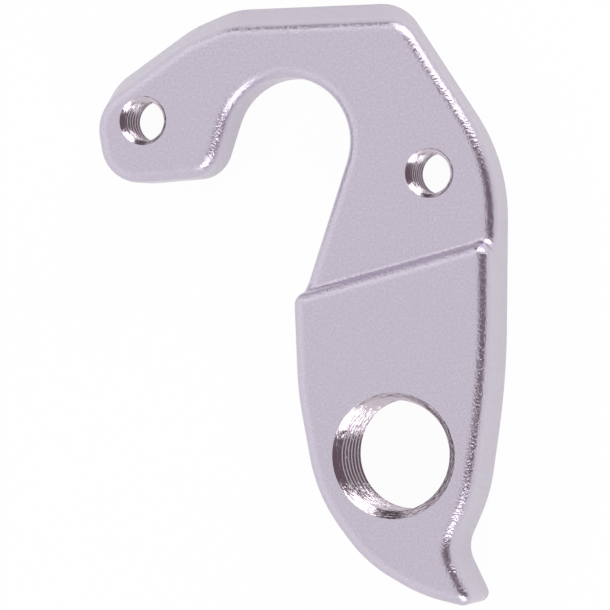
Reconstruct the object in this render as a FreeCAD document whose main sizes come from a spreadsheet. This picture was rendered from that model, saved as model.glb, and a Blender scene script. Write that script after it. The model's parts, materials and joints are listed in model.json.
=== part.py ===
import FreeCAD, Part
import math
import os

import Sketcher

# Bicycle derailleur hanger: one machined plate of aluminium alloy, in millimetres.
# The plate lies on its outer face, z = 0, with its inner face up. The origin is the axis of the
# big derailleur thread where it leaves the outer face. Y runs along the length of the plate,
# from the horn towards the axle slot, and X towards the edge that faces away from the finger.

# Driving dimensions: name, value, meaning
DIMENSIONS = [
    ("plate_thickness", 4.8, "thin upper plate, which seats in the dropout"),
    ("raised_thickness", 7.2, "thick lower plate round the derailleur thread"),
    ("crown_slope", 22.0, "degrees that the crown's outer edge leans in from square"),
    ("nose_slope", 7.0, "degrees that the end of the finger leans in from square"),
    # outline of the outer face, as corners and the radius that rounds each one
    ("crook_x", -9.02, "corner inside the axle slot, which the slot takes away"),
    ("crook_y", 23.35, "corner inside the axle slot"),
    ("flank_x", -8.26, "upper corner of the left flank"),
    ("flank_y", 5.1, "upper corner of the left flank"),
    ("flank_radius", 25.0, "rounding of the flank"),
    ("belly_x", -6.66, "lower corner of the left flank"),
    ("belly_y", -3.36, "lower corner of the left flank"),
    ("belly_radius", 16.0, "rounding of the lower flank"),
    ("keel_x", -2.52, "corner between flank and underside"),
    ("keel_y", -8.78, "corner between flank and underside"),
    ("keel_radius", 13.0, "rounding between flank and underside"),
    ("underside_x", 2.2, "corner of the underside ahead of the horn"),
    ("underside_y", -11.35, "corner of the underside ahead of the horn"),
    ("underside_radius", 12.4, "rounding of the underside"),
    ("horn_x", 6.91, "point of the horn"),
    ("horn_y", -12.41, "point of the horn"),
    ("horn_radius", 0.77, "rounding of the horn's point"),
    ("throat_x", 4.52, "hollow above the horn"),
    ("throat_y", -7.56, "hollow above the horn"),
    ("throat_radius", 2.6, "rounding of the hollow"),
    ("loin_x", 6.42, "lower corner of the right edge"),
    ("loin_y", -3.28, "lower corner of the right edge"),
    ("loin_radius", 13.0, "rounding of the right edge, low"),
    ("side_x", 7.78, "middle corner of the right edge"),
    ("side_y", 6.13, "middle corner of the right edge"),
    ("side_radius", 78.0, "rounding of the right edge, middle"),
    ("shoulder_x", 7.94, "corner where the right edge turns in"),
    ("shoulder_y", 23.9, "corner where the right edge turns in"),
    ("shoulder_radius", 15.1, "rounding of the shoulder"),
    ("crest_x", -0.93, "right corner of the crown"),
    ("crest_y", 37.21, "right corner of the crown"),
    ("crest_radius", 3.8, "rounding of the crown's right corner"),
    ("ridge_x", -15.25, "left corner of the crown"),
    ("ridge_y", 36.86, "left corner of the crown"),
    ("ridge_radius", 6.6, "rounding of the crown's left corner"),
    ("brow_x", -18.98, "corner where the crown slopes to the finger"),
    ("brow_y", 35.38, "corner where the crown slopes to the finger"),
    ("brow_radius", 9.9, "rounding of that corner"),
    ("nose_x", -27.12, "upper corner of the finger's end"),
    ("nose_y", 29.78, "upper corner of the finger's end"),
    ("nose_radius", 4.6, "rounding of that corner"),
    ("chin_x", -25.76, "lower corner of the finger's end"),
    ("chin_y", 22.1, "lower corner of the finger's end"),
    ("chin_radius", 4.1, "rounding of that corner"),
    # axle slot
    ("axle_x", -9.8, "axis of the wheel axle"),
    ("axle_y", 25.6, "axis of the wheel axle"),
    ("slot_width", 10.6, "width of the slot that takes the axle"),
    ("slot_lean", 71.9, "degrees between the slot and the X axis"),
    ("slot_reach", 16.0, "from the axle's axis to the open end of the cut"),
    ("mouth_radius", 2.8, "rounding between slot and finger"),
    # step between the thin and the thick plate
    ("heel_x", -9.8, "left end of the step line, outside the flank"),
    ("heel_y", 12.7, "left end of the step line"),
    ("bend_x", 6.0, "point where the step line bends up"),
    ("bend_y", 16.95, "point where the step line bends up"),
    ("bend_radius", 4.0, "rounding of that bend"),
    ("step_end_x", 9.4, "right end of the step line, outside the edge"),
    ("step_end_y", 18.7, "right end of the step line"),
    ("cut_margin", 3.0, "how far the cut above the step passes the outline"),
    # threaded bores, at their tapping drill size
    ("derailleur_drill", 9.0, "bore for the derailleur's M10 x 1 bolt"),
    ("derailleur_rim", 10.25, "rims of the countersinks at its two ends"),
    ("derailleur_sink", 0.55, "depth of those countersinks"),
    ("screw_drill", 3.3, "bores for the two M4 frame screws"),
    ("screw_rim", 4.05, "rims of the countersinks at their ends"),
    ("screw_sink", 0.35, "depth of those countersinks"),
    ("finger_screw_x", -21.97, "screw bore in the finger"),
    ("finger_screw_y", 27.44, "screw bore in the finger"),
    ("plate_screw_x", 2.38, "screw bore in the upper plate"),
    ("plate_screw_y", 22.94, "screw bore in the upper plate"),
    # edges
    ("step_foot_radius", 0.5, "hollow where the step rises from the upper plate"),
    ("plate_edge_radius", 1.1, "rounded edges of the upper plate's inner face"),
    ("raised_edge_radius", 1.1, "rounded edges of the thick plate's inner face"),
    ("back_edge_radius", 0.3, "rounded edges of the outer face"),
]

# The outline runs anticlockwise through these corners. Beside each is what leans in the wall
# from this corner to the next one, or None where that wall is square to the faces.
OUTLINE = [
    ("crook", None),
    ("flank", None),
    ("belly", None),
    ("keel", None),
    ("underside", None),
    ("horn", None),
    ("throat", None),
    ("loin", None),
    ("side", None),
    ("shoulder", None),
    ("crest", "crown_slope"),
    ("ridge", "crown_slope"),
    ("brow", "crown_slope"),
    ("nose", "nose_slope"),
    ("chin", None),
]

UP = FreeCAD.Vector(0, 0, 1)
# the share of an outline edge that the rounding of one corner may use
ROUNDED_SHARE = 0.46
# how near an edge must come to a place or a size to count as that one, in millimetres
NEAR = 0.02
# how level an edge must lie to belong to a face, in millimetres
LEVEL = 0.0001
# how far into the metal a point counts as inside it, in millimetres
SKIN = 0.001
# the least that a cut takes away, in cubic millimetres
LEAST_CUT = 1

doc = FreeCAD.newDocument("derailleur_hanger")
sizes = doc.addObject("Spreadsheet::Sheet", "sizes")
for row, (name, value, meaning) in enumerate(DIMENSIONS, 1):
    sizes.set("A%d" % row, meaning)
    sizes.set("B%d" % row, str(value))
    sizes.setAlias("B%d" % row, name)
doc.recompute()


def size(name):
    return float(sizes.get(name))


body = doc.addObject("PartDesign::Body", "hanger")
body.Label = "hanger"


def new_sketch(name, height=None):
    """A sketch parallel to the outer face, at the height that an expression gives."""
    sketch = body.newObject("Sketcher::SketchObject", name)
    plane = next(f for f in body.Origin.OriginFeatures if f.Role == "XY_Plane")
    sketch.AttachmentSupport = [(plane, "")]
    sketch.MapMode = "FlatFace"
    if height:
        sketch.setExpression("AttachmentOffset.Base.z", height)
    return sketch


def constrain(sketch, *terms, expression=None):
    number = sketch.addConstraint(Sketcher.Constraint(*terms))
    if expression:
        sketch.setExpression("Constraints[%d]" % number, expression)


def place_point(sketch, geometry, end, x, y):
    """Ties one end of a geometry to coordinates given as expressions."""
    point = sketch.getPoint(geometry, end)
    constrain(sketch, "DistanceX", -1, 1, geometry, end, point.x, expression=x)
    constrain(sketch, "DistanceY", -1, 1, geometry, end, point.y, expression=y)


def vector(x, y):
    return FreeCAD.Vector(x, y, 0)


def corner_at(name):
    """The point whose two coordinates have this name in the spreadsheet."""
    return vector(size(name + "_x"), size(name + "_y"))


def add_line(sketch, start, end, guide=False):
    return sketch.addGeometry(Part.LineSegment(start, end), guide)


def add_arc(sketch, centre, radius, start, end):
    """The arc that runs anticlockwise from one point to another."""
    first = math.atan2(start.y - centre.y, start.x - centre.x)
    last = math.atan2(end.y - centre.y, end.x - centre.x)
    circle = Part.Circle(centre, UP, radius)
    return sketch.addGeometry(Part.ArcOfCircle(circle, first, last), False)


def leaning_corners(corners, insets):
    """Where the corners come when each wall is moved in by its inset."""
    moved = []
    for i, corner in enumerate(corners):
        after = corners[(i + 1) % len(corners)]
        along_a = (corner - corners[i - 1]).normalize()
        along_b = (after - corner).normalize()
        inward_a = vector(-along_a.y, along_a.x)
        inward_b = vector(-along_b.y, along_b.x)
        depth_a = inward_a.dot(corner) + insets[i - 1]
        depth_b = inward_b.dot(corner) + insets[i]
        cross = inward_a.x * inward_b.y - inward_a.y * inward_b.x
        x = (depth_a * inward_b.y - depth_b * inward_a.y) / cross
        y = (inward_a.x * depth_b - inward_b.x * depth_a) / cross
        moved.append(vector(x, y))
    return moved


def corner_arc(before, corner, after, radius):
    """Radius, ends and centre of the arc that rounds a corner, as far as its edges have room."""
    u = (before - corner).normalize()
    v = (after - corner).normalize()
    half = math.acos(u.dot(v)) / 2
    room = ROUNDED_SHARE * min((before - corner).Length, (after - corner).Length)
    free = min(radius, room * math.tan(half))
    reach = free / math.tan(half)
    centre = corner + (u + v).normalize() * (free / math.sin(half))
    return free, corner + u * reach, corner + v * reach, centre


def draw_outline(sketch, height=None):
    """The rounded outline, with each wall moved in as far as it leans at the given height."""
    names = [name for name, lean in OUTLINE]
    leans = [lean if height else None for name, lean in OUTLINE]
    insets = [size(height) * math.tan(math.radians(size(lean))) if lean else 0 for lean in leans]
    inset_terms = ["sizes.%s * tan(sizes.%s)" % (height, lean) for lean in leans]
    corners = [corner_at(name) for name in names]
    count = len(corners)

    # the sharp outline of the outer face guides the rounded one
    guides = [add_line(sketch, corners[i], corners[(i + 1) % count], True) for i in range(count)]
    for i, name in enumerate(names):
        constrain(sketch, "Coincident", guides[i - 1], 2, guides[i], 1)
        place_point(sketch, guides[i], 1, "sizes.%s_x" % name, "sizes.%s_y" % name)

    moved = leaning_corners(corners, insets)
    starts = list(moved)
    ends = list(moved)
    arcs = {}
    for i, name in enumerate(names):
        if sizes.getCellFromAlias(name + "_radius") is None:
            continue
        before = moved[i - 1]
        after = moved[(i + 1) % count]
        # a corner between leaning walls tightens as it rises, like a cone
        radius = size(name + "_radius") - (insets[i - 1] + insets[i]) / 2
        free, first, last, centre = corner_arc(before, moved[i], after, radius)
        ends[i] = first
        starts[i] = last
        left_turn = (moved[i] - before).cross(after - moved[i]).z > 0
        if left_turn:
            arc = add_arc(sketch, centre, free, first, last)
        else:
            arc = add_arc(sketch, centre, free, last, first)
        arcs[i] = (arc, left_turn)
        terms = ["sizes.%s_radius" % name]
        terms += ["%s / 2" % inset_terms[j] for j in (i - 1, i) if insets[j]]
        bound = " - ".join(terms) if free == radius else None
        constrain(sketch, "Radius", arc, free, expression=bound)

    lines = [add_line(sketch, starts[i], ends[(i + 1) % count]) for i in range(count)]
    for i, line in enumerate(lines):
        if insets[i]:
            constrain(sketch, "Parallel", line, guides[i])
            constrain(sketch, "Distance", line, 1, guides[i], insets[i], expression=inset_terms[i])
        else:
            constrain(sketch, "PointOnObject", line, 1, guides[i])
            constrain(sketch, "PointOnObject", line, 2, guides[i])
    for i, line in enumerate(lines):
        if i in arcs:
            arc, left_turn = arcs[i]
            constrain(sketch, "Tangent", lines[i - 1], 2, arc, 1 if left_turn else 2)
            constrain(sketch, "Tangent", arc, 2 if left_turn else 1, line, 1)
        else:
            constrain(sketch, "Coincident", lines[i - 1], 2, line, 1)


def failed(feature):
    return any(state in ("Invalid", "Error") for state in feature.State)


def check(feature):
    """Stops when a feature failed or left no sound shape."""
    doc.recompute()
    if failed(feature) or feature.Shape.isNull() or not feature.Shape.isValid():
        raise RuntimeError("%s failed: %s" % (feature.Name, feature.State))
    print("%-16s volume %8.2f" % (feature.Name, feature.Shape.Volume))


# the blank's walls run from the outer face's outline to the leaned-in one at full thickness
outer_outline = new_sketch("outer_outline")
draw_outline(outer_outline)
inner_outline = new_sketch("inner_outline", "sizes.raised_thickness")
draw_outline(inner_outline, "raised_thickness")
doc.recompute()
blank = body.newObject("PartDesign::AdditiveLoft", "blank")
blank.Profile = outer_outline
blank.Sections = [inner_outline]
blank.Ruled = True
check(blank)


def pocket(sketch, name, depth=None):
    """Cuts the sketch out of the plate, down to a depth or else upwards right through."""
    before = body.Shape.Volume
    cut = body.newObject("PartDesign::Pocket", name)
    cut.Profile = sketch
    if depth:
        cut.Type = "Length"
        cut.setExpression("Length", depth)
    else:
        cut.Type = "ThroughAll"
        cut.Reversed = True
    check(cut)
    if cut.Shape.Volume > before - LEAST_CUT:
        raise RuntimeError(name + " cuts nothing")


# the slot's direction, and its two sides on either hand of the axle
lean = math.radians(size("slot_lean"))
along_slot = vector(math.cos(lean), math.sin(lean))
across_slot = vector(math.sin(lean), -math.cos(lean))
axle = corner_at("axle")
right_side = axle + across_slot * (size("slot_width") / 2)
left_side = axle - across_slot * (size("slot_width") / 2)


def draw_slot(sketch):
    """The open slot: a half circle round the axle and two straight sides towards the mouth."""
    mouth = along_slot * -size("slot_reach")
    arc = add_arc(sketch, axle, size("slot_width") / 2, right_side, left_side)
    left = add_line(sketch, left_side, left_side + mouth)
    end = add_line(sketch, left_side + mouth, right_side + mouth)
    right = add_line(sketch, right_side + mouth, right_side)
    constrain(sketch, "Tangent", arc, 2, left, 1)
    constrain(sketch, "Coincident", left, 2, end, 1)
    constrain(sketch, "Coincident", end, 2, right, 1)
    constrain(sketch, "Tangent", right, 2, arc, 1)
    constrain(sketch, "Perpendicular", right, end)
    place_point(sketch, arc, 3, "sizes.axle_x", "sizes.axle_y")
    constrain(sketch, "Radius", arc, size("slot_width") / 2, expression="sizes.slot_width / 2")
    constrain(sketch, "Distance", right, size("slot_reach"), expression="sizes.slot_reach")
    constrain(sketch, "Angle", -1, 1, right, 1, lean, expression="sizes.slot_lean * 1 deg")


slot_sketch = new_sketch("slot_outline")
draw_slot(slot_sketch)
pocket(slot_sketch, "axle_slot")


def draw_step(sketch):
    """The area above the step line, out to a margin past the outline on the other sides."""
    heel = corner_at("heel")
    bend = corner_at("bend")
    step_end = corner_at("step_end")
    left = size("nose_x") - size("cut_margin")
    right = size("step_end_x") + size("cut_margin")
    top = size("crest_y") + size("cut_margin")
    radius = size("bend_radius")
    free, first, last, centre = corner_arc(heel, bend, step_end, radius)
    rise = add_line(sketch, last, step_end)
    low = add_line(sketch, step_end, vector(right, step_end.y))
    near = add_line(sketch, vector(right, step_end.y), vector(right, top))
    high = add_line(sketch, vector(right, top), vector(left, top))
    far = add_line(sketch, vector(left, top), vector(left, heel.y))
    back = add_line(sketch, vector(left, heel.y), heel)
    run = add_line(sketch, heel, first)
    lines = [rise, low, near, high, far, back, run]
    for before, after in zip(lines[:-1], lines[1:]):
        constrain(sketch, "Coincident", before, 2, after, 1)
    arc = add_arc(sketch, centre, free, first, last)
    constrain(sketch, "Tangent", run, 2, arc, 1)
    constrain(sketch, "Tangent", arc, 2, rise, 1)
    bound = "sizes.bend_radius" if free == radius else None
    constrain(sketch, "Radius", arc, free, expression=bound)
    corner = sketch.addGeometry(Part.Point(bend), True)
    constrain(sketch, "PointOnObject", corner, 1, run)
    constrain(sketch, "PointOnObject", corner, 1, rise)
    place_point(sketch, corner, 1, "sizes.bend_x", "sizes.bend_y")
    place_point(sketch, run, 1, "sizes.heel_x", "sizes.heel_y")
    place_point(sketch, rise, 2, "sizes.step_end_x", "sizes.step_end_y")
    for line in (low, high, back):
        constrain(sketch, "Horizontal", line)
    for line in (near, far):
        constrain(sketch, "Vertical", line)
    right_margin = "sizes.step_end_x + sizes.cut_margin"
    place_point(sketch, high, 1, right_margin, "sizes.crest_y + sizes.cut_margin")
    left_margin = "sizes.nose_x - sizes.cut_margin"
    constrain(sketch, "DistanceX", -1, 1, far, 1, left, expression=left_margin)


step_sketch = new_sketch("step_outline", "sizes.raised_thickness")
draw_step(step_sketch)
pocket(step_sketch, "dropout_seat", "sizes.raised_thickness - sizes.plate_thickness")


def edge_names(test):
    """Names of the edges of the plate, as far as it is built, that pass a test."""
    return ["Edge%d" % n for n, edge in enumerate(body.Shape.Edges, 1) if test(edge)]


def lies_at(edge, height):
    box = edge.BoundBox
    return abs(box.ZMin - height) < LEVEL and abs(box.ZMax - height) < LEVEL


def stands_at(edge, corner):
    """An upright edge at a corner of the plan."""
    box = edge.BoundBox
    near = math.hypot(box.Center.x - corner.x, box.Center.y - corner.y) < NEAR
    return near and max(box.XLength, box.YLength) < NEAR < box.ZLength


def is_foot_of_step(edge):
    """At the foot of the step the plate goes on upwards."""
    point = edge.valueAt((edge.FirstParameter + edge.LastParameter) / 2)
    point.z = size("raised_thickness")
    return body.Shape.isInside(point, SKIN, True)


def crossing(point, along, first, second):
    """Where the line through a point meets the line through two others."""
    other = second - first
    gap = first - point
    cross = along.x * other.y - along.y * other.x
    return point + along * ((gap.x * other.y - gap.y * other.x) / cross)


def fillet(name, edges, radius):
    if not edges:
        raise RuntimeError(name + " finds no edge")
    base = body.Tip
    feature = body.newObject("PartDesign::Fillet", name)
    feature.Base = (base, edges)
    feature.setExpression("Radius", radius)
    check(feature)


def round_corner(name, corner, radius):
    fillet(name, edge_names(lambda edge: stands_at(edge, corner)), radius)


# the slot's sides meet the outline at the finger and above the flank
mouth_corner = crossing(left_side, along_slot, corner_at("chin"), corner_at("crook"))
heel_corner = crossing(right_side, along_slot, corner_at("flank"), corner_at("crook"))
round_corner("mouth_corner", mouth_corner, "sizes.mouth_radius")
round_corner("heel_corner", heel_corner, "sizes.raised_edge_radius")

# the hollow at the step's foot comes first, then the rims of the three faces
thin = size("plate_thickness")
foot = edge_names(lambda edge: lies_at(edge, thin) and is_foot_of_step(edge))
fillet("step_foot", foot, "sizes.step_foot_radius")
plate_edges = edge_names(lambda edge: lies_at(edge, thin) and not is_foot_of_step(edge))
fillet("plate_edges", plate_edges, "sizes.plate_edge_radius")
raised_edges = edge_names(lambda edge: lies_at(edge, size("raised_thickness")))
fillet("raised_edges", raised_edges, "sizes.raised_edge_radius")
back_edges = edge_names(lambda edge: lies_at(edge, 0))
fillet("back_edges", back_edges, "sizes.back_edge_radius")


def section_sketch(name, place):
    """An upright sketch whose vertical axis is the axis of a bore."""
    sketch = body.newObject("Sketcher::SketchObject", name)
    plane = next(f for f in body.Origin.OriginFeatures if f.Role == "XZ_Plane")
    sketch.AttachmentSupport = [(plane, "")]
    sketch.MapMode = "FlatFace"
    if place:
        sketch.setExpression("AttachmentOffset.Base.x", "sizes.%s_x" % place)
        sketch.setExpression("AttachmentOffset.Base.z", "-sizes.%s_y" % place)
    return sketch


def bore(name, place, tool, thickness):
    """A bore at tapping drill size through the plate, with a countersink at each end."""
    sketch = section_sketch(name + "_section", place)
    wide = "sizes.%s_rim / 2" % tool
    narrow = "sizes.%s_drill / 2" % tool
    low = "sizes.%s_sink" % tool
    high = "sizes.%s - sizes.%s_sink" % (thickness, tool)
    # each corner of the half section: its distance from the axis and its height
    section = [
        (None, "-sizes.cut_margin"),
        (wide, "-sizes.cut_margin"),
        (wide, None),
        (narrow, low),
        (narrow, high),
        (wide, "sizes." + thickness),
        (wide, "sizes.%s + sizes.cut_margin" % thickness),
        (None, "sizes.%s + sizes.cut_margin" % thickness),
    ]
    rim = size(tool + "_rim") / 2
    drill = size(tool + "_drill") / 2
    sink = size(tool + "_sink")
    full = size(thickness)
    margin = size("cut_margin")
    widths = [0, rim, rim, drill, drill, rim, rim, 0]
    heights = [-margin, -margin, 0, sink, full - sink, full, full + margin, full + margin]
    points = [vector(x, y) for x, y in zip(widths, heights)]
    lines = [add_line(sketch, p, q) for p, q in zip(points, points[1:] + points[:1])]
    for i, (across, height) in enumerate(section):
        constrain(sketch, "Coincident", lines[i - 1], 2, lines[i], 1)
        if across:
            constrain(sketch, "DistanceX", -1, 1, lines[i], 1, widths[i], expression=across)
        else:
            constrain(sketch, "PointOnObject", lines[i], 1, -2)
        if height:
            constrain(sketch, "DistanceY", -1, 1, lines[i], 1, heights[i], expression=height)
        else:
            constrain(sketch, "PointOnObject", lines[i], 1, -1)
    before = body.Shape.Volume
    groove = body.newObject("PartDesign::Groove", name)
    groove.Profile = sketch
    groove.ReferenceAxis = (sketch, ["V_Axis"])
    groove.Angle = 360
    check(groove)
    if groove.Shape.Volume > before - LEAST_CUT:
        raise RuntimeError(name + " cuts nothing")


bore("derailleur_bore", None, "derailleur", "raised_thickness")
bore("finger_bore", "finger_screw", "screw", "plate_thickness")
bore("plate_bore", "plate_screw", "screw", "plate_thickness")

doc.recompute()
for item in doc.Objects:
    if failed(item):
        raise RuntimeError("%s failed: %s" % (item.Name, item.State))
shape = body.Shape
if shape.isNull() or not shape.isValid() or len(shape.Solids) != 1:
    raise RuntimeError("the hanger is not one sound solid")
box = shape.optimalBoundingBox()
print("hanger volume %.2f mm3, faces %d" % (shape.Volume, len(shape.Faces)))
print("hanger size %.3f x %.3f x %.3f mm" % (box.XLength, box.YLength, box.ZLength))
os.makedirs("parts", exist_ok=True)
shape.exportStep("parts/%s.step" % body.Label)
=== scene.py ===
# %% [markdown]
# # A bicycle derailleur hanger
#
# A derailleur hanger is the small metal plate that joins a rear derailleur to the frame of a
# bicycle. It is milled from one piece of aluminium alloy: a hooked finger over an open slot for
# the wheel's axle, a thin plate that seats in the frame, a slanted step to a thicker lower part,
# and three tapped holes. The milled solid comes from CAD. This lesson cuts its threads, gives it
# its two finishes, and lights it as bright metal is photographed on white paper.

# %% Load the frame
import json
import math

import bmesh
import bpy
from mathutils import Matrix, Vector


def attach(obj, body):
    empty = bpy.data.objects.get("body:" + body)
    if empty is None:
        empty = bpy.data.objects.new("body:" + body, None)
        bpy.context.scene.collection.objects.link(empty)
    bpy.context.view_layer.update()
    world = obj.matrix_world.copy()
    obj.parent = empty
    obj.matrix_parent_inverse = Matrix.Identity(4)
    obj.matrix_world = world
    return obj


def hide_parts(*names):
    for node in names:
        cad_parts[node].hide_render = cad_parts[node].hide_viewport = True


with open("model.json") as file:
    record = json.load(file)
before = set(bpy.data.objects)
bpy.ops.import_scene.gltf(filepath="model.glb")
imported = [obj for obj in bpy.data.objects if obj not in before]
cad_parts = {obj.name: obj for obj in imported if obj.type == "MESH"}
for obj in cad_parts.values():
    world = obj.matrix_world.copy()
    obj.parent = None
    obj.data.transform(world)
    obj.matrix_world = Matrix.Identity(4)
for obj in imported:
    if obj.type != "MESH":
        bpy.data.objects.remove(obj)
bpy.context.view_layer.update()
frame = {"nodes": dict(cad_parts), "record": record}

# Blender measures in metres
MM = 0.001

# %% [markdown]
# ## The plate
#
# On the real part a cutter follows the outline, and a second one rounds the edges. The CAD solid
# already has that shape, so its mesh is the best start. It arrives as loose triangles, each with
# corners of its own. A copy is made and its doubled corners are merged, because only a joined
# mesh can be shaded smoothly and cut cleanly.

# %% Copy and merge the plate
# corners nearer than this are one and the same
TOUCHING = 0.0001 * MM


def new_object(name, mesh):
    """Puts a mesh into the scene as an object at the origin."""
    made = bpy.data.objects.new(name, mesh)
    bpy.context.scene.collection.objects.link(made)
    return made


plate_bm = bmesh.new()
plate_bm.from_mesh(frame["nodes"]["hanger"].data)
bmesh.ops.remove_doubles(plate_bm, verts=plate_bm.verts, dist=TOUCHING)
bmesh.ops.recalc_face_normals(plate_bm, faces=plate_bm.faces)
plate_mesh = bpy.data.meshes.new("plate")
plate_bm.to_mesh(plate_mesh)
print("plate:", len(plate_bm.verts), "corners,", len(plate_bm.faces), "triangles")
plate_bm.free()
plate = new_object("plate", plate_mesh)

# %% [markdown]
# ## The threads
#
# A tap cuts a thread into a drilled hole. Its ridge is a 60 degree tooth that climbs one pitch
# with each turn. A bump texture could hint at the grooves, and rings stacked on each other would
# come nearer, but only a real helix runs out at the faces as a cut thread does, and catches the
# light on one flank while it hides the other. So a tap is modelled, and then taken away from the
# plate.
#
# The tap starts as one tooth, drawn as four corners on a line.

# %% Draw a tooth
# the flat tip of a tooth, as a share of the pitch
TIP_SHARE = 0.125
# each flank leans half the tooth's angle from square to the axis
FLANK_SLOPE = math.tan(math.radians(30))


def tooth_corners(pitch, core_radius, tip_radius):
    """Height and radius of each corner of a tooth, from its foot upwards."""
    flank = (tip_radius - core_radius) * FLANK_SLOPE
    tip = TIP_SHARE * pitch
    return [
        (0.0, core_radius),
        (flank, tip_radius),
        (flank + tip, tip_radius),
        (2 * flank + tip, core_radius),
    ]


print("a flank climbs", round(FLANK_SLOPE, 3), "mm for each mm of its depth")

# %% [markdown]
# The spin operator turns a line of such teeth once round the axis. It lifts the line a little at
# each step, by one pitch in all, so the end of each tooth meets the start of the next one up.

# %% Spin a line of teeth
STEPS_PER_TURN = 72


def spin_teeth(bm, tooth, pitch, turns, low):
    """Spins a line of teeth round Z while it rises by one pitch, and joins them to a helix."""
    corners = []
    for turn in range(turns):
        corners += [bm.verts.new((r, 0, low + turn * pitch + z)) for z, r in tooth]
    core_radius = tooth[0][1]
    corners.append(bm.verts.new((core_radius, 0, low + turns * pitch)))
    line = [bm.edges.new(pair) for pair in zip(corners, corners[1:])]
    bmesh.ops.spin(
        bm,
        geom=corners + line,
        axis=(0, 0, 1),
        cent=(0, 0, 0),
        dvec=(0, 0, pitch / STEPS_PER_TURN),
        angle=2 * math.pi,
        steps=STEPS_PER_TURN,
    )
    bmesh.ops.remove_doubles(bm, verts=bm.verts, dist=TOUCHING)


# %% [markdown]
# A boolean needs a closed solid. Each open end of the helix is therefore drawn out to a plain
# round shank, past the face of the plate, and closed there with one flat face.

# %% Close the tap and set it in place
# how much thinner the tap's core is than the drilled hole, so that only its teeth cut
CORE_GAP = 0.1 * MM
# corners nearer than this are merged where a shape is closed
NEAR = 0.001 * MM


def draw_out(bm, rim, radius, height):
    """Draws an open rim out to a round shank that ends at the given height."""
    drawn = bmesh.ops.extrude_edge_only(bm, edges=rim)["geom"]
    shank = [v for v in drawn if isinstance(v, bmesh.types.BMVert)]
    for v in shank:
        around = Vector((v.co.x, v.co.y, 0)).normalized() * radius
        v.co = (around.x, around.y, height)
    bmesh.ops.remove_doubles(bm, verts=shank, dist=NEAR)


def thread_tap(name, place, pitch, drill_radius, tip_radius, thickness):
    """A closed rod with one right-hand ridge that passes each face of the plate by a pitch."""
    low = -pitch
    high = thickness + pitch
    turns = math.ceil((high - low) / pitch)
    core_radius = drill_radius - CORE_GAP
    bm = bmesh.new()
    spin_teeth(bm, tooth_corners(pitch, core_radius, tip_radius), pitch, turns, low)
    middle = (low + high) / 2
    for end in (low - pitch, high + 2 * pitch):
        below = end < middle
        rim = [e for e in bm.edges if e.is_boundary and (e.verts[0].co.z < middle) == below]
        draw_out(bm, rim, core_radius, end)
    bmesh.ops.holes_fill(bm, edges=[e for e in bm.edges if e.is_boundary])
    bmesh.ops.recalc_face_normals(bm, faces=bm.faces)
    bmesh.ops.translate(bm, verts=bm.verts, vec=Vector((place[0], place[1], 0)))
    mesh = bpy.data.meshes.new(name)
    bm.to_mesh(mesh)
    open_edges = sum(not e.is_manifold for e in bm.edges)
    print(name, "has", turns, "turns,", len(bm.faces), "faces and", open_edges, "open edges")
    bm.free()
    return new_object(name, mesh)


# %% [markdown]
# The big hole takes the derailleur's M10 x 1 bolt, and the two small ones take M4 screws. Their
# places and drilled sizes come from the part's record, so they always fit the CAD solid.

# %% Make the three taps
# pitch and outer radius of the two standard threads, by the radius of the hole drilled for each
THREADS = {4.5: (1.0, 5.0), 1.65: (0.7, 2.0)}
bores = [m for m in frame["record"]["mounts"] if m["kind"] == "threaded_hole"]
taps = []
for bore in bores:
    drill = bore["dims"]["r_mm"]
    pitch, tip = THREADS[drill]
    # a bore's place is halfway through the plate
    thickness = 2 * bore["pos_m"][2]
    name = bore["name"] + "_tap"
    taps.append(thread_tap(name, bore["pos_m"], pitch * MM, drill * MM, tip * MM, thickness))

# %% [markdown]
# ## Two finishes of one metal
#
# The whole part is aluminium, but it was finished before its threads were cut, so it shows two
# surfaces. Three small helpers come first: one turns a colour as a paint program writes it into
# the linear numbers that Blender works with, one adds a node, and one starts a material.

# %% Material helpers
def linear(hex_colour):
    """An sRGB colour such as "C9C1D0" as the linear RGBA that Blender's sockets take."""
    shares = [int(hex_colour[i:i + 2], 16) / 255 for i in (0, 2, 4)]
    return tuple(c / 12.92 if c <= 0.04045 else ((c + 0.055) / 1.055) ** 2.4 for c in shares) + (1,)


def add_node(tree, kind, inputs=None, **settings):
    """Adds a node, sets its properties, and gives each input a value or a link from a socket."""
    made = tree.nodes.new(kind)
    for name, value in settings.items():
        setattr(made, name, value)
    for key, value in (inputs or {}).items():
        if isinstance(value, bpy.types.NodeSocket):
            tree.links.new(value, made.inputs[key])
        else:
            made.inputs[key].default_value = value
    return made


def new_material(name):
    """A material with an empty node tree, and that tree."""
    material = bpy.data.materials.new(name)
    material.use_nodes = True
    material.node_tree.nodes.clear()
    return material, material.node_tree


print("mid grey 808080 is", round(linear("808080")[0], 3), "in linear light")
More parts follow.
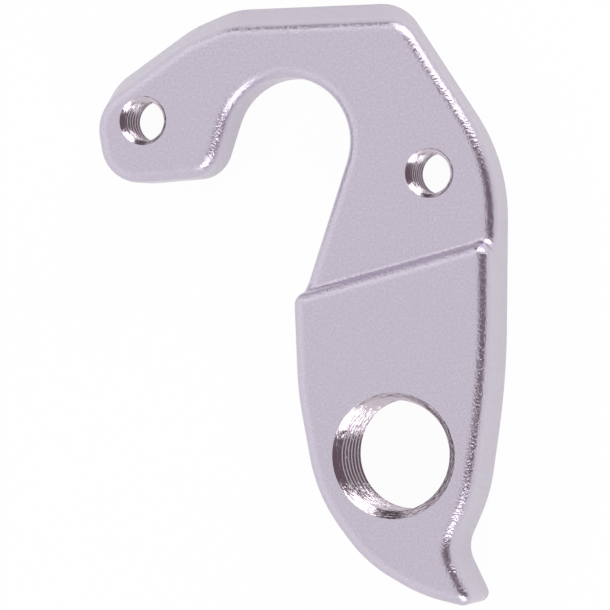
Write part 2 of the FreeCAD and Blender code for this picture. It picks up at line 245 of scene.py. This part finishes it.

# %% [markdown]
# ## Bead-blasted, anodised aluminium
#
# The milled plate was blasted with fine beads, and then anodised in its own silver, which leaves
# a faint violet cast. The dimples make the flat faces even and soft to the eye, and the rounded
# edges glitter wherever a dimple catches a lamp. A photograph of such a face could be wrapped
# round the plate, but a noise in the plate's own coordinates has no seams and follows each edge.
# The same noise bends the light and varies the colour at random. The colour is darkest where the
# noise sinks into the hollows, which is painted shade in the hollows.

# %% Blasted metal
# real dimples are about 0.05 mm wide, too fine for the picture, so these are four times as coarse
DIMPLE_WIDTH = 0.2 * MM
DIMPLE_DEPTH = 0.055 * MM
blasted, tree = new_material("bead_blasted_anodised_aluminium")
place = add_node(tree, "ShaderNodeTexCoord").outputs["Object"]
dimples = add_node(
    tree,
    "ShaderNodeTexNoise",
    {"Vector": place, "Scale": 1 / DIMPLE_WIDTH, "Detail": 2.0, "Roughness": 0.6},
).outputs["Fac"]
bump = add_node(
    tree,
    "ShaderNodeBump",
    {"Strength": 1.0, "Distance": DIMPLE_DEPTH, "Height": dimples},
)
# random tone, plus painted shade: the darker colour falls in the hollows of the dimples
tone_and_hollow_shade = add_node(
    tree,
    "ShaderNodeMix",
    {"Factor": dimples, "A": linear("BFB7C7"), "B": linear("D7CFDD")},
    data_type="RGBA",
)
# satin: it blurs what it mirrors, yet an edge still shows where a lamp stands
shader = add_node(
    tree,
    "ShaderNodeBsdfPrincipled",
    {
        "Base Color": tone_and_hollow_shade.outputs["Result"],
        "Metallic": 1.0,
        "Roughness": 0.24,
        "Normal": bump.outputs["Normal"],
    },
)
add_node(tree, "ShaderNodeOutputMaterial", {"Surface": shader.outputs["BSDF"]})
print(blasted.name, "has", len(tree.nodes), "nodes")

# %% [markdown]
# ## Tapped aluminium
#
# The tap and the countersink cut through the anodised skin to bare metal. It is smoother, so it
# mirrors the lamps as white patches and the dark side of the room as dark ones. The cutting edges
# also leave fine marks that run round the hole, and they fray the borders of those patches. The
# marks are a noise that is stretched along the plate and squeezed along the hole's axis. Noise
# that follows the circle exactly would need the angle round each axis, and the eye can't tell.

# %% Tapped metal
# real marks are a few hundredths of a millimetre high, too fine for the picture, so these are
# several times as coarse
MARK_LENGTH = 0.6 * MM
MARK_HEIGHT = 0.12 * MM
MARK_DEPTH = 0.05 * MM
tapped, tree = new_material("tapped_aluminium")
place = add_node(tree, "ShaderNodeTexCoord").outputs["Object"]
grain = (1 / MARK_LENGTH, 1 / MARK_LENGTH, 1 / MARK_HEIGHT)
stretched = add_node(tree, "ShaderNodeMapping", {"Vector": place, "Scale": grain}).outputs["Vector"]
marks = add_node(
    tree,
    "ShaderNodeTexNoise",
    {"Vector": stretched, "Scale": 1.0, "Detail": 2.0},
).outputs["Fac"]
bump = add_node(tree, "ShaderNodeBump", {"Strength": 1.0, "Distance": MARK_DEPTH, "Height": marks})
# a freshly cut metal: brighter in the lamps than the blasted one, and darker away from them
shader = add_node(
    tree,
    "ShaderNodeBsdfPrincipled",
    {
        "Base Color": linear("C6BBC5"),
        "Metallic": 1.0,
        "Roughness": 0.18,
        "Normal": bump.outputs["Normal"],
    },
)
add_node(tree, "ShaderNodeOutputMaterial", {"Surface": shader.outputs["BSDF"]})
print(tapped.name, "has", len(tree.nodes), "nodes")

# %% [markdown]
# ## Cutting the threads
#
# A boolean takes each tap out of the plate. Its exact solver copes with the many thin faces, and
# its transfer mode gives the new faces the tap's material. The modifiers are then applied, so that
# the cut mesh can be edited, and the taps have done their work.

# %% Take the taps away
plate.data.materials.append(blasted)
for tap in taps:
    tap.data.materials.append(tapped)
    cut = plate.modifiers.new(tap.name, "BOOLEAN")
    cut.operation = "DIFFERENCE"
    cut.solver = "EXACT"
    cut.material_mode = "TRANSFER"
    cut.object = tap
depsgraph = bpy.context.evaluated_depsgraph_get()
cut_mesh = bpy.data.meshes.new_from_object(plate.evaluated_get(depsgraph))
plate.modifiers.clear()
plate.data = cut_mesh
plate.data.name = "plate"
for tap in taps:
    bpy.data.objects.remove(tap)
print("materials:", [m.name for m in plate.data.materials])

# %% [markdown]
# The boolean leaves corners that all but touch, and they are merged, which closes the mesh. The
# drilled wall between the turns and the countersinks came from CAD, so they still have the blasted
# metal. They are known by their place, near a hole, and by their slope, as the flat faces round
# the hole keep the blasted metal.

# %% Weld the mesh and sort its faces
# the countersinks lie within this distance of the drilled wall
COUNTERSINK_WIDTH = 0.7 * MM
# a face is flat where its normal rises at least this much
FLAT = 0.95
cut_bm = bmesh.new()
cut_bm.from_mesh(plate.data)
bmesh.ops.remove_doubles(cut_bm, verts=cut_bm.verts, dist=NEAR)
bmesh.ops.dissolve_degenerate(cut_bm, edges=cut_bm.edges, dist=NEAR)
tapped_slot = plate.data.materials.find(tapped.name)
for bore in bores:
    axis = Vector(bore["pos_m"][:2])
    reach = bore["dims"]["r_mm"] * MM + COUNTERSINK_WIDTH
    for face in cut_bm.faces:
        away = (face.calc_center_median().xy - axis).length
        if abs(face.normal.z) < FLAT and away < reach:
            face.material_index = tapped_slot
open_edges = sum(not e.is_manifold for e in cut_bm.edges)
print("cut plate:", len(cut_bm.faces), "faces,", open_edges, "open edges")

# %% [markdown]
# ## Shading
#
# A milled part has flat faces, rounded edges and a few sharp corners, such as the crests of the
# threads. Faces are shaded smoothly, except across an edge that turns by more than 32 degrees. A
# weighted normal then lets the big flat faces keep their own direction, so that only the rounded
# edges bend the light. Subdividing the mesh would smooth it too, but would soften the threads.

# %% Shade the plate and hand it over
SHARP = math.radians(32)
for face in cut_bm.faces:
    face.smooth = True
for edge in cut_bm.edges:
    edge.smooth = edge.is_manifold and edge.calc_face_angle() < SHARP
print("sharp edges:", sum(not e.smooth for e in cut_bm.edges))
cut_bm.to_mesh(plate.data)
cut_bm.free()

weight = plate.modifiers.new("face_weights", "WEIGHTED_NORMAL")
weight.keep_sharp = True
weight.weight = 60
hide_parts("hanger")
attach(plate, "root")

# %% [markdown]
# ## White paper
#
# Small parts are photographed on a sheet of white paper that is lit until it turns plain white. A
# lamp strong enough for that would bleach the metal as well. So the paper is matt and takes its
# light and the part's shadow from the lamps, and a share of plain white is mixed in for the rays
# that come straight from the camera. A smaller share is mixed in for rays that the metal sends
# down, so that its walls mirror pale paper.

# %% Lay the paper
FLOOR_REACH = 2.0
floor_bm = bmesh.new()
bmesh.ops.create_grid(floor_bm, x_segments=1, y_segments=1, size=FLOOR_REACH)
floor_mesh = bpy.data.meshes.new("floor")
floor_bm.to_mesh(floor_mesh)
floor_bm.free()
floor = new_object("floor", floor_mesh)
print("the paper is", 2 * FLOOR_REACH, "m wide")

# %% Make the paper white
# how much of the paper's look is plain white, for the eye and in the metal
SEEN_GLOW = 0.96
MIRRORED_GLOW = 0.62
paper, tree = new_material("matt_white_paper")
ray = add_node(tree, "ShaderNodeLightPath").outputs
clear = add_node(
    tree,
    "ShaderNodeMath",
    {0: ray["Is Camera Ray"], 1: ray["Is Transmission Ray"]},
    operation="MAXIMUM",
).outputs[0]
seen = add_node(tree, "ShaderNodeMath", {0: clear, 1: SEEN_GLOW}, operation="MULTIPLY").outputs[0]
mirrored = add_node(
    tree,
    "ShaderNodeMath",
    {0: ray["Is Glossy Ray"], 1: MIRRORED_GLOW},
    operation="MULTIPLY",
).outputs[0]
share = add_node(tree, "ShaderNodeMath", {0: seen, 1: mirrored}, operation="MAXIMUM").outputs[0]
# uncoated paper: it spreads the light evenly and has no shine
matt = add_node(tree, "ShaderNodeBsdfDiffuse", {"Color": linear("F5F5F5")}).outputs[0]
glow = add_node(tree, "ShaderNodeEmission", {"Color": (1, 1, 1, 1), "Strength": 1.0}).outputs[0]
both = add_node(tree, "ShaderNodeMixShader", {0: share, 1: matt, 2: glow}).outputs[0]
add_node(tree, "ShaderNodeOutputMaterial", {"Surface": both})
floor.data.materials.append(paper)
print(paper.name, "has", len(tree.nodes), "nodes")

# %% [markdown]
# ## A tent of light
#
# Metal has no look of its own: it shows the room. Photographers put it in a tent of white cloth,
# so that its faces turn an even grey, and leave one side of the tent open, so that its edges are
# drawn with dark lines. Walls of cloth could be modelled round the plate, but the world does the
# same with a colour for each direction, and casts no shadows.
#
# X points right, Y towards the plate's crown, and Z up. The open side is on the right and turns a
# little towards the crown. Each limit below rises softly from 0 to 1 while a direction moves from
# its first number to its second.

# %% Tell the directions apart
world = bpy.data.worlds.new("studio")
bpy.context.scene.world = world
world.use_nodes = True
tree = world.node_tree
tree.nodes.clear()
direction = add_node(tree, "ShaderNodeTexCoord").outputs["Generated"]
parts = add_node(tree, "ShaderNodeSeparateXYZ", {0: direction}).outputs
# how far the open side turns from the right towards the crown
CROWN_TURN = 0.4
rightwards = add_node(
    tree,
    "ShaderNodeMath",
    {0: parts["Y"], 1: CROWN_TURN, 2: parts["X"]},
    operation="MULTIPLY_ADD",
).outputs[0]
# what is measured of a direction, where the rise begins and where it ends
LIMITS = {
    "below the roof": (parts["Z"], 0.93, 0.6),
    "beyond the crown": (parts["Y"], 0.3, 0.6),
    "above the strip": (parts["Z"], 0.3, 0.5),
    "near the horizon": (parts["Z"], 0.6, 0.36),
    "right of the finger": (parts["X"], -0.48, -0.3),
    "away from the horn": (parts["Y"], -1.6, 1.0),
    "on the open side": (rightwards, 0.3, 0.5),
}
rises = {}
for where, (value, first, last) in LIMITS.items():
    limits = {"Value": value, "From Min": first, "From Max": last}
    rise = add_node(tree, "ShaderNodeMapRange", limits, interpolation_type="SMOOTHSTEP")
    rises[where] = rise.outputs[0]
print("limits:", list(rises))

# %% [markdown]
# The parts of the tent are laid over each other. The sides are brighter than the roof, and the
# wall beyond the crown is the brightest, so that it draws a pale band beside each edge that faces
# it. Under that wall runs a dark strip, which draws the thin dark line inside the crown's edge.
# The open side comes last, and draws the long dark line down the right edge and the dark left
# walls of the holes.

# %% Lay the parts of the tent
ROOF = (0.88, 0.88, 0.88, 1)
# the light of each layer, and the limits that together say where it covers those before it
LAYERS = [
    ((1.04, 1.04, 1.04, 1), ["below the roof"]),
    ((1.2, 1.2, 1.2, 1), ["beyond the crown", "above the strip"]),
    (linear("1E1A1C"), ["near the horizon", "right of the finger", "away from the horn"]),
    (linear("7A6B71"), ["on the open side"]),
]
tent = ROOF
for colour, places in LAYERS:
    cover = rises[places[0]]
    for where in places[1:]:
        factors = {0: cover, 1: rises[where]}
        cover = add_node(tree, "ShaderNodeMath", factors, operation="MULTIPLY").outputs[0]
    mix = {"Factor": cover, "A": tent, "B": colour}
    tent = add_node(tree, "ShaderNodeMix", mix, data_type="RGBA").outputs["Result"]
room = add_node(tree, "ShaderNodeBackground", {"Color": tent, "Strength": 1.0}).outputs[0]
# the camera sees white behind the plate instead
white = add_node(tree, "ShaderNodeBackground", {"Color": (1, 1, 1, 1), "Strength": 1.0}).outputs[0]
camera_ray = add_node(tree, "ShaderNodeLightPath").outputs["Is Camera Ray"]
shown = add_node(tree, "ShaderNodeMixShader", {0: camera_ray, 1: room, 2: white}).outputs[0]
add_node(tree, "ShaderNodeOutputWorld", {"Surface": shown})
print("the studio has", len(tree.nodes), "nodes")

# %% [markdown]
# ## Three soft boxes
#
# A tent alone gives no sparkle. Three soft boxes stand low on the right, and the slanted edges,
# the rims of the step and the walls of the holes mirror them as clear white. They stand too low
# for the flat faces to mirror them towards the camera, so the faces stay even. Each is a
# rectangle, as a round lamp would leave round spots.

# %% Set up the soft boxes
LAMP_DISTANCE = 0.8
LAMP_TARGET = Vector((-8, 12, 4)) * MM


def soft_box(name, azimuth, elevation, width, height, power):
    """A rectangular lamp that looks at the plate from a direction, given in degrees."""
    lamp = bpy.data.lights.new(name, "AREA")
    lamp.shape = "RECTANGLE"
    lamp.size = width
    lamp.size_y = height
    lamp.energy = power
    made = bpy.data.objects.new(name, lamp)
    bpy.context.scene.collection.objects.link(made)
    a = math.radians(azimuth)
    e = math.radians(elevation)
    towards = Vector((math.cos(e) * math.cos(a), math.cos(e) * math.sin(a), math.sin(e)))
    made.location = LAMP_TARGET + towards * LAMP_DISTANCE
    made.rotation_euler = towards.to_track_quat("Z", "Y").to_euler()
    print(name, "gives", power, "W from", azimuth, "degrees,", elevation, "degrees up")


soft_box("right_back_lamp", 66, 21, 0.42, 0.5, 2.5)
soft_box("right_low_lamp", 45, 5, 0.2, 0.3, 1.0)
soft_box("right_front_lamp", -46, 24, 0.42, 0.56, 2.0)

# %% [markdown]
# ## The camera
#
# The plate lies flat and is seen from above, from a little to the right, so that the walls on its
# right show as narrow bands. How wide they show gives the tilt. A long lens, far away, keeps both
# ends of the plate at one scale, and the threads' known sizes give that scale.

# %% Aim the camera
TILT = math.radians(15.5)
DISTANCE = 400 * MM
# focal length and sensor, in the millimetres that a camera's own settings use
LENS = 290.36
SENSOR = 36
camera_data = bpy.data.cameras.new("camera")
camera_data.lens = LENS
camera_data.sensor_width = SENSOR
camera_data.clip_start = 0.01
camera = bpy.data.objects.new("camera", camera_data)
bpy.context.scene.collection.objects.link(camera)
aim = Vector((-7.4129, 12.2075, 7.2)) * MM
back = Vector((math.sin(TILT), 0, math.cos(TILT)))
side = Vector((0, 1, 0)).cross(back)
above = back.cross(side)
turn = Matrix((side, above, back)).transposed().to_4x4()
camera.matrix_world = Matrix.Translation(aim + back * DISTANCE) @ turn
bpy.context.scene.camera = camera
print("the picture is", round(DISTANCE * SENSOR / LENS / MM, 1), "mm wide at the plate")

# %% [markdown]
# ## Finish
#
# The standard view shows each colour as it is written.

# %% Finish
bpy.context.scene.view_settings.view_transform = "Standard"
